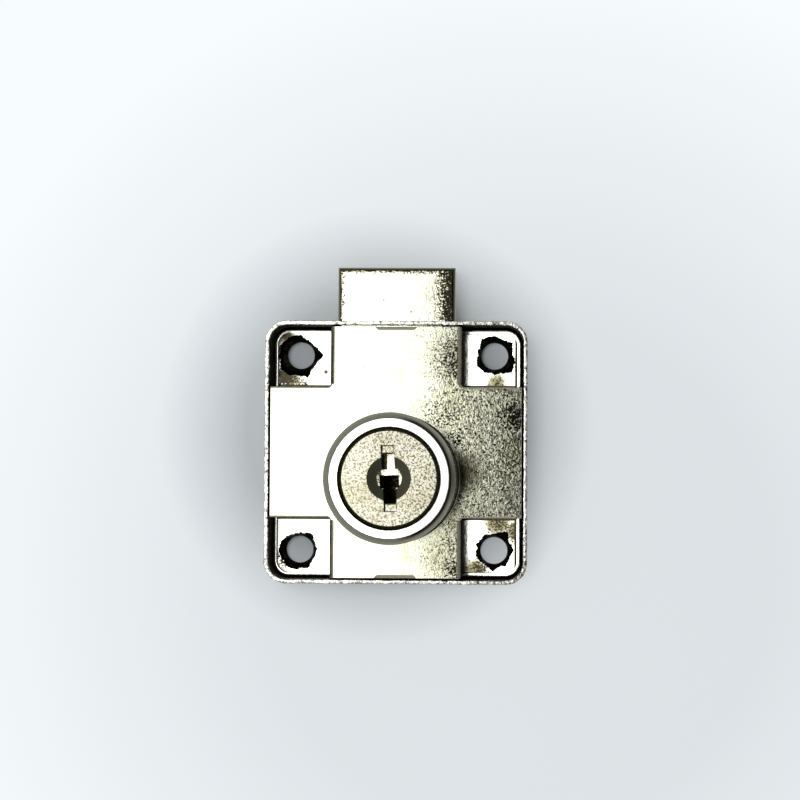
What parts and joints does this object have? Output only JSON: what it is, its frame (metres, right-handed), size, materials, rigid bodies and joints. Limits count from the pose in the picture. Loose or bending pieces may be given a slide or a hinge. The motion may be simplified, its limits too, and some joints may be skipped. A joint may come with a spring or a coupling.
{
  "type": "drawer lock",
  "caption": "Square-bolt cylinder drawer lock: pressed steel tray, die-cast body with a round barrel, keyed plug with sprung wafers and a sliding bolt.",
  "frame": {"origin": "on the barrel's axis, at the back face of the pressed tray", "axes": "+Z along the barrel towards its front face, +Y the way the bolt comes out, +X to the right seen from the front"},
  "size_m": [0.04, 0.0483, 0.0298],
  "materials": {
    "nickel_steel": "nickel plated pressed steel",
    "nickel_casting": "nickel plated die casting",
    "bolt_nickel": "nickel plated die casting",
    "plug_nickel": "satin nickel plated die casting",
    "brass": "stamped brass",
    "spring_steel": "drawn spring wire"
  },
  "bodies": {
    "case": {"back_case": "nickel_steel", "housing": "nickel_casting"},
    "plug": {"plug": "plug_nickel", "retainer_spring": "spring_steel", "wafer_spring_1": "spring_steel", "wafer_spring_2": "spring_steel", "wafer_spring_3": "spring_steel", "wafer_spring_4": "spring_steel", "wafer_spring_5": "spring_steel", "wafer_spring_6": "spring_steel", "wafer_spring_7": "spring_steel"},
    "bolt": {"bolt": "bolt_nickel"},
    "wafer_1": {"wafer_1": "brass"},
    "wafer_2": {"wafer_2": "brass"},
    "wafer_3": {"wafer_3": "brass"},
    "wafer_4": {"wafer_4": "brass"},
    "wafer_5": {"wafer_5": "brass"},
    "wafer_6": {"wafer_6": "brass"},
    "wafer_7": {"wafer_7": "brass"},
    "retainer": {"plug_retainer": "brass"}
  },
  "joints": [
    {"name": "plug_turn", "type": "hinge", "parent": "case", "child": "plug", "pos_m": [0, 0, 0], "axis": [0, 0, 1], "range_deg": [0, 180]},
    {"name": "bolt_slide", "type": "slide", "parent": "case", "child": "bolt", "axis": [0, -1, 0], "range_m": [0, 0.0083]},
    {"name": "wafer_1_slide", "type": "slide", "parent": "plug", "child": "wafer_1", "axis": [0.0576, -0.9983, 0], "range_m": [-0.0009, 0.0009], "stiffness_N_per_m": 100, "springref_m": 0.0009, "deforming": ["wafer_spring_1"]},
    {"name": "wafer_2_slide", "type": "slide", "parent": "plug", "child": "wafer_2", "axis": [0.0576, -0.9983, 0], "range_m": [-0.0009, 0.0009], "stiffness_N_per_m": 100, "springref_m": 0.0009, "deforming": ["wafer_spring_2"]},
    {"name": "wafer_3_slide", "type": "slide", "parent": "plug", "child": "wafer_3", "axis": [0.0576, -0.9983, 0], "range_m": [-0.0009, 0.0009], "stiffness_N_per_m": 100, "springref_m": 0.0009, "deforming": ["wafer_spring_3"]},
    {"name": "wafer_4_slide", "type": "slide", "parent": "plug", "child": "wafer_4", "axis": [0.0576, -0.9983, 0], "range_m": [-0.0009, 0.0009], "stiffness_N_per_m": 100, "springref_m": 0.0009, "deforming": ["wafer_spring_4"]},
    {"name": "wafer_5_slide", "type": "slide", "parent": "plug", "child": "wafer_5", "axis": [0.0576, -0.9983, 0], "range_m": [-0.0009, 0.0009], "stiffness_N_per_m": 100, "springref_m": 0.0009, "deforming": ["wafer_spring_5"]},
    {"name": "wafer_6_slide", "type": "slide", "parent": "plug", "child": "wafer_6", "axis": [0.0576, -0.9983, 0], "range_m": [-0.0009, 0.0009], "stiffness_N_per_m": 100, "springref_m": 0.0009, "deforming": ["wafer_spring_6"]},
    {"name": "wafer_7_slide", "type": "slide", "parent": "plug", "child": "wafer_7", "axis": [0.0576, -0.9983, 0], "range_m": [-0.0009, 0.0009], "stiffness_N_per_m": 100, "springref_m": 0.0009, "deforming": ["wafer_spring_7"]},
    {"name": "retainer_press", "type": "slide", "parent": "plug", "child": "retainer", "axis": [-0.9983, -0.0576, 0], "range_m": [0, 0.0009], "stiffness_N_per_m": 150, "springref_m": -0.0004, "deforming": ["retainer_spring"]}
  ],
  "couplings": [
    {"joint": "plug_turn", "follows": "bolt_slide", "rad_per_m": 378.5}
  ]
}
